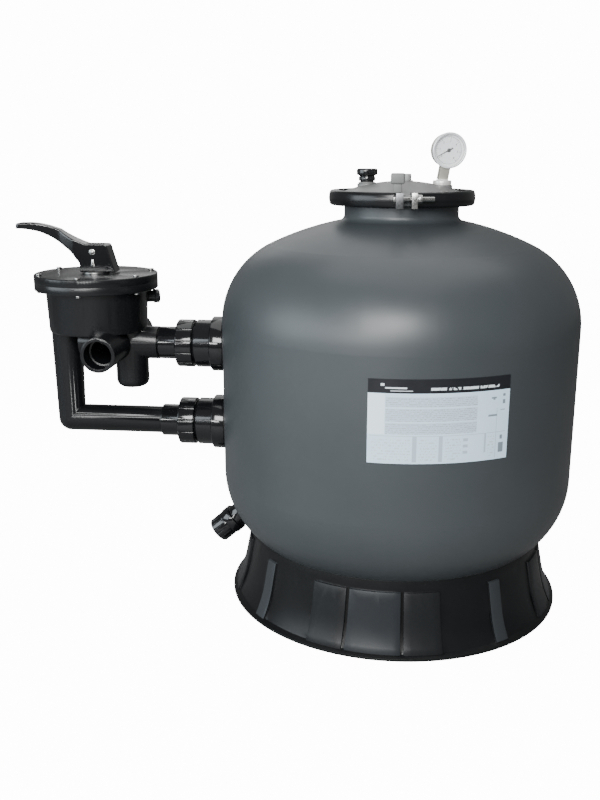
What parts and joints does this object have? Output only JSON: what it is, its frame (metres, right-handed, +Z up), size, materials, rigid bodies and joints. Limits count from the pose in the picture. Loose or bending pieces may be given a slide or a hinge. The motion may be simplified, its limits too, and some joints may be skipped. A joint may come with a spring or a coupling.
{
  "type": "sand filter tank",
  "caption": "Round pool sand filter tank on a flared skirt, with a clamped lid, pressure gauge, side unions, multiport valve with lever, and a drain.",
  "frame": {"origin": "on the tank's axis, in the plane the skirt's foot stands on", "axes": "+Z up along the tank's axis, valve and side ports towards -X, label and open front port towards -Y"},
  "size_m": [1.02, 0.6365, 0.8379],
  "materials": {
    "tank_grey": "satin, slightly mottled",
    "black_plastic": "semi-gloss moulded",
    "lid_grey": "satin",
    "white_plastic": "satin",
    "steel": "brushed",
    "nickel": "dull nickel plate",
    "gauge_ink": "matt",
    "clear_plastic": "clear",
    "label_print": "printed film",
    "rubber": "matt"
  },
  "bodies": {
    "tank_body": {"air_release_seat": "lid_grey", "base_skirt": "black_plastic", "clamp_bolt": "steel", "clamp_half_left": "black_plastic", "clamp_half_right": "black_plastic", "clamp_lug_left": "steel", "clamp_lug_right": "steel", "clamp_tab": "lid_grey", "diffuser": "white_plastic", "drain_gasket": "rubber", "drain_spigot": "black_plastic", "drop_pipe": "black_plastic", "filter_lid": "lid_grey", "gauge_bezel": "steel", "gauge_bushing": "nickel", "gauge_case": "nickel", "gauge_dial": "white_plastic", "gauge_lens": "clear_plastic", "laterals": "white_plastic", "lid_o_ring": "rubber", "lid_plug": "lid_grey", "lower_bulkhead": "black_plastic", "lower_gasket": "rubber", "lower_locknut": "black_plastic", "lower_union_o_ring": "rubber", "lower_union_tail": "black_plastic", "rating_label": "label_print", "rear_clamp_fastener": "steel", "rear_clamp_lugs": "steel", "riser_pipe": "white_plastic", "sight_glass": "clear_plastic", "spider_gasket": "rubber", "stem_o_ring": "rubber", "tank_shell": "tank_grey", "underdrain_hub": "white_plastic", "upper_bulkhead": "black_plastic", "upper_gasket": "rubber", "upper_locknut": "black_plastic", "upper_pipe": "black_plastic", "upper_union_o_ring": "rubber", "upper_union_tail": "black_plastic", "valve_body": "black_plastic", "valve_bolts": "steel", "valve_lid": "black_plastic", "valve_lid_o_ring": "rubber", "valve_spring": "steel"},
    "valve_carrier": {"thrust_washer": "steel"},
    "valve_core": {"valve_stem": "steel", "valve_rotor": "white_plastic"},
    "valve_handle": {"handle": "black_plastic", "handle_pin": "steel"},
    "gauge_needle": {"gauge_pointer": "gauge_ink"},
    "release_seal": {"air_release_seal": "rubber"},
    "release_knob": {"air_release_knob": "black_plastic"},
    "upper_nut": {"upper_union_nut": "black_plastic"},
    "lower_nut": {"lower_union_nut": "black_plastic"},
    "drain_seal": {"drain_cap_seal": "rubber"},
    "drain_cover": {"drain_cap": "black_plastic"},
    "clamp_spacer": {"clamp_washer": "steel"},
    "clamp_nut_body": {"clamp_nut": "steel"}
  },
  "joints": [
    {"name": "valve_turn", "type": "hinge", "parent": "tank_body", "child": "valve_carrier", "pos_m": [-0.558, 0, 0.59], "axis": [0, 0, 1], "continuous": true},
    {"name": "valve_lift", "type": "slide", "parent": "valve_carrier", "child": "valve_core", "axis": [0, 0, 1], "range_m": [0, 0.0056], "deforming": ["valve_spring"]},
    {"name": "handle_press", "type": "hinge", "parent": "valve_core", "child": "valve_handle", "pos_m": [-0.558, 0, 0.629], "axis": [0, -1, 0], "range_deg": [0, 12], "stiffness_Nm_per_rad": 12, "springref_deg": -8.59},
    {"name": "gauge_sweep", "type": "hinge", "parent": "tank_body", "child": "gauge_needle", "pos_m": [0.07698, 0, 0.80816], "axis": [-0.2556, 0.9659, 0.0405], "range_deg": [0, 265], "stiffness_Nm_per_rad": 0.001, "springref_deg": -11.46},
    {"name": "release_rise", "type": "slide", "parent": "tank_body", "child": "release_seal", "axis": [0, 0, 1], "range_m": [0, 0.003]},
    {"name": "release_turn", "type": "hinge", "parent": "release_seal", "child": "release_knob", "pos_m": [-0.061, 0, 0.7506], "axis": [0, 0, 1], "range_deg": [0, 721]},
    {"name": "upper_nut_turn", "type": "hinge", "parent": "tank_body", "child": "upper_nut", "pos_m": [-0.375, 0, 0.461], "axis": [-1, 0, 0], "range_deg": [0, 360]},
    {"name": "lower_nut_turn", "type": "hinge", "parent": "tank_body", "child": "lower_nut", "pos_m": [-0.375, 0, 0.311], "axis": [-1, 0, 0], "range_deg": [0, 360]},
    {"name": "drain_slide", "type": "slide", "parent": "tank_body", "child": "drain_seal", "axis": [-0.7547, 0, -0.6561], "range_m": [0, 0.009]},
    {"name": "drain_turn", "type": "hinge", "parent": "drain_seal", "child": "drain_cover", "pos_m": [-0.28072, 0, 0.13828], "axis": [-0.7547, 0, -0.6561], "range_deg": [0, 1081]},
    {"name": "clamp_nut_slide", "type": "slide", "parent": "tank_body", "child": "clamp_spacer", "axis": [0.9976, 0.0698, 0], "range_m": [0, 0.01]},
    {"name": "clamp_nut_turn", "type": "hinge", "parent": "clamp_spacer", "child": "clamp_nut_body", "pos_m": [0.02565, -0.13454, 0.7315], "axis": [0.9976, 0.0698, 0], "range_deg": [0, 2881]}
  ],
  "couplings": [
    {"joint": "valve_lift", "follows": "handle_press", "m_per_rad": 0.026},
    {"joint": "release_turn", "follows": "release_rise", "rad_per_m": 4188.8},
    {"joint": "drain_turn", "follows": "drain_slide", "rad_per_m": 2094.4},
    {"joint": "clamp_nut_turn", "follows": "clamp_nut_slide", "rad_per_m": 5026.5}
  ]
}
